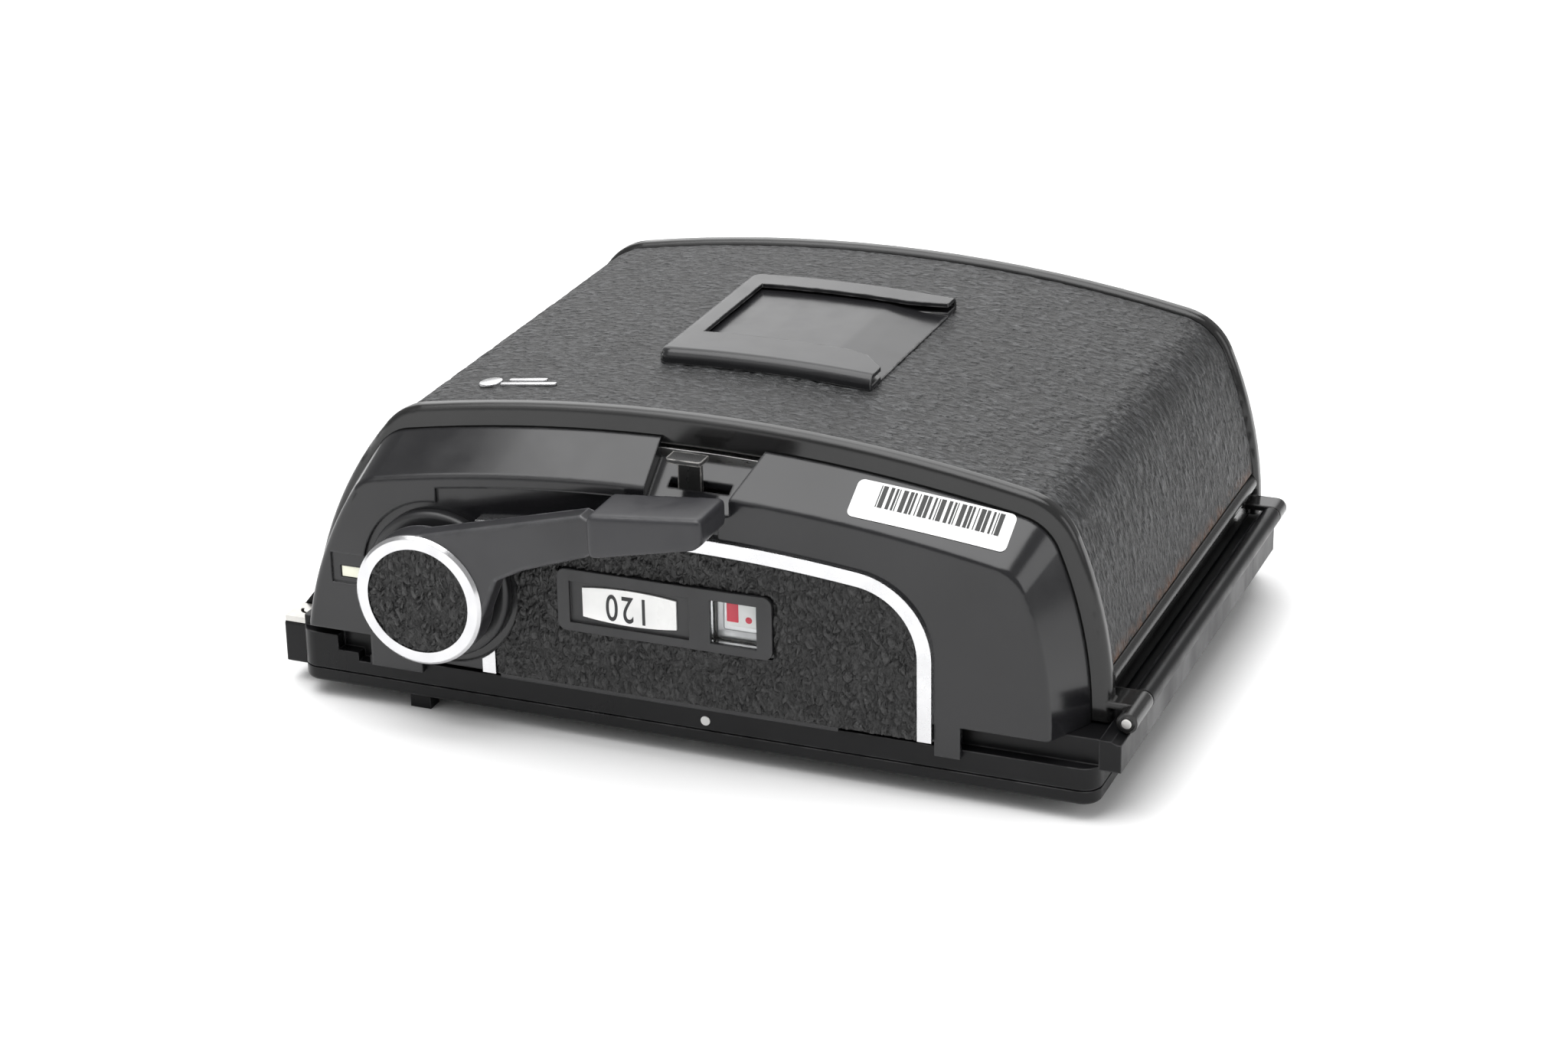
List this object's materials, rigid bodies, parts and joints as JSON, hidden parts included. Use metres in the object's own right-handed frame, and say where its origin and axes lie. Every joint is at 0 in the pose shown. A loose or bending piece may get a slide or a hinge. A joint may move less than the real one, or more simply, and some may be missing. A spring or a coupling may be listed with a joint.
{
  "type": "roll film magazine",
  "caption": "Black roll film magazine with an arched leather back, side wind lever, counter window, hinged cover and dark slide.",
  "frame": {"origin": "centre of the film gate on the camera side face", "axes": "+X towards the hinge, +Y towards the dark slide, -Y towards the wind lever, +Z towards the leather back"},
  "size_m": [0.12, 0.1028, 0.0466],
  "materials": {
    "black_enamel": "gloss",
    "black_frame": "satin",
    "housing_plastic": "gloss",
    "grip_plastic": "satin",
    "back_leather": "matte",
    "chrome_plate": "gloss",
    "bare_steel": "satin",
    "gear_brass": "satin",
    "bare_aluminium": "satin",
    "clear_window": "gloss",
    "white_label": "gloss",
    "spool_plastic": "satin",
    "black_plush": "matte"
  },
  "bodies": {
    "magazine_body": {"base_plate": "black_frame", "base_frame": "black_frame", "hinge_flange": "black_frame", "name_strip": "black_frame", "hinge_pin": "bare_steel", "gate_frame": "bare_steel", "near_cheek_wall": "black_frame", "far_cheek_wall": "black_frame", "gear_plate": "bare_steel", "gear_pivots": "bare_steel", "gear_housing": "housing_plastic", "signal_bar": "white_label", "lever_boss": "grip_plastic", "chrome_trim": "chrome_plate", "panel_leather": "back_leather", "window_bezel": "grip_plastic", "film_type_label": "white_label", "counter_window": "clear_window", "latch_block": "black_frame", "latch_plate": "bare_aluminium", "slide_seal": "black_plush", "plate_screws": "bare_steel", "index_dot": "white_label", "insert_cheek_near": "bare_aluminium", "insert_cheek_far": "bare_aluminium", "insert_bridge": "bare_aluminium", "plate_springs": "bare_steel", "roller_axles": "bare_steel", "spool_studs": "bare_steel"},
    "back_cover": {"cover_shell": "black_enamel", "cover_leather": "back_leather", "memo_holder": "black_enamel", "memo_plate": "black_enamel", "cover_catch": "bare_steel"},
    "wind_lever": {"lever_arm": "black_frame", "lever_grip": "grip_plastic", "hub_ring": "chrome_plate", "hub_disc": "back_leather", "drive_gear": "bare_steel"},
    "idler": {"idler_gear": "gear_brass"},
    "take_up": {"take_up_gear": "gear_brass", "take_up_spool": "spool_plastic"},
    "counter": {"counter_dial": "white_label"},
    "supply": {"supply_spool": "spool_plastic"},
    "latch_roller": {"roller_latch_end": "bare_aluminium"},
    "hinge_roller": {"roller_hinge_end": "bare_aluminium"},
    "slide": {"dark_slide": "bare_steel", "slide_handle": "grip_plastic"},
    "latch": {"cover_latch": "black_frame"},
    "release": {"release_tab": "bare_steel"},
    "interlock": {"interlock_pin": "bare_steel"},
    "presser": {"pressure_plate": "black_frame"},
    "pawl": {"return_pawl": "bare_steel"}
  },
  "joints": [
    {"name": "cover_hinge", "type": "hinge", "parent": "magazine_body", "child": "back_cover", "pos_m": [0.0586, 0, 0.0105], "axis": [0, 1, 0], "range_deg": [0, 110]},
    {"name": "lever_swing", "type": "hinge", "parent": "magazine_body", "child": "wind_lever", "pos_m": [-0.0335, -0.047, 0.0178], "axis": [0, -1, 0], "range_deg": [0, 180], "stiffness_Nm_per_rad": 0.004, "springref_deg": -34.38},
    {"name": "idler_spin", "type": "hinge", "parent": "magazine_body", "child": "idler", "pos_m": [-0.02045, -0.041, 0.02389], "axis": [0, -1, 0], "range_deg": [-360, 0]},
    {"name": "take_up_spin", "type": "hinge", "parent": "magazine_body", "child": "take_up", "pos_m": [-0.033, 0, 0.025], "axis": [0, -1, 0], "range_deg": [0, 480]},
    {"name": "counter_turn", "type": "hinge", "parent": "magazine_body", "child": "counter", "pos_m": [0.0125, -0.041, 0.0216], "axis": [0, -1, 0], "range_deg": [0, 30]},
    {"name": "supply_spin", "type": "hinge", "parent": "magazine_body", "child": "supply", "pos_m": [0.033, 0, 0.025], "axis": [0, -1, 0], "continuous": true},
    {"name": "latch_roller_spin", "type": "hinge", "parent": "magazine_body", "child": "latch_roller", "pos_m": [-0.043, 0, 0.0126], "axis": [0, -1, 0], "continuous": true},
    {"name": "hinge_roller_spin", "type": "hinge", "parent": "magazine_body", "child": "hinge_roller", "pos_m": [0.043, 0, 0.0126], "axis": [0, -1, 0], "continuous": true},
    {"name": "dark_slide_pull", "type": "slide", "parent": "magazine_body", "child": "slide", "axis": [0, 1, 0], "range_m": [0, 0.07]},
    {"name": "latch_push", "type": "slide", "parent": "magazine_body", "child": "latch", "axis": [0, 1, 0], "range_m": [0, 0.003], "stiffness_N_per_m": 300, "springref_m": -0.001},
    {"name": "release_push", "type": "slide", "parent": "magazine_body", "child": "release", "axis": [1, 0, 0], "range_m": [0, 0.0026], "stiffness_N_per_m": 200, "springref_m": -0.001},
    {"name": "interlock_push", "type": "slide", "parent": "magazine_body", "child": "interlock", "axis": [0, 0, 1], "range_m": [0, 0.0014], "stiffness_N_per_m": 200, "springref_m": -0.001},
    {"name": "presser_lift", "type": "slide", "parent": "magazine_body", "child": "presser", "axis": [0, 0, 1], "range_m": [0, 0.0008], "stiffness_N_per_m": 1500, "springref_m": -0.001, "deforming": ["plate_springs"]},
    {"name": "pawl_lift", "type": "hinge", "parent": "magazine_body", "child": "pawl", "pos_m": [-0.0429, -0.04, 0.027], "axis": [0, -1, 0], "range_deg": [0, 8], "stiffness_Nm_per_rad": 0.001, "springref_deg": -11.46}
  ],
  "couplings": [
    {"joint": "idler_spin", "follows": "lever_swing", "ratio": -2},
    {"joint": "take_up_spin", "follows": "lever_swing", "ratio": 2.6667},
    {"joint": "counter_turn", "follows": "lever_swing", "ratio": 0.16667}
  ]
}
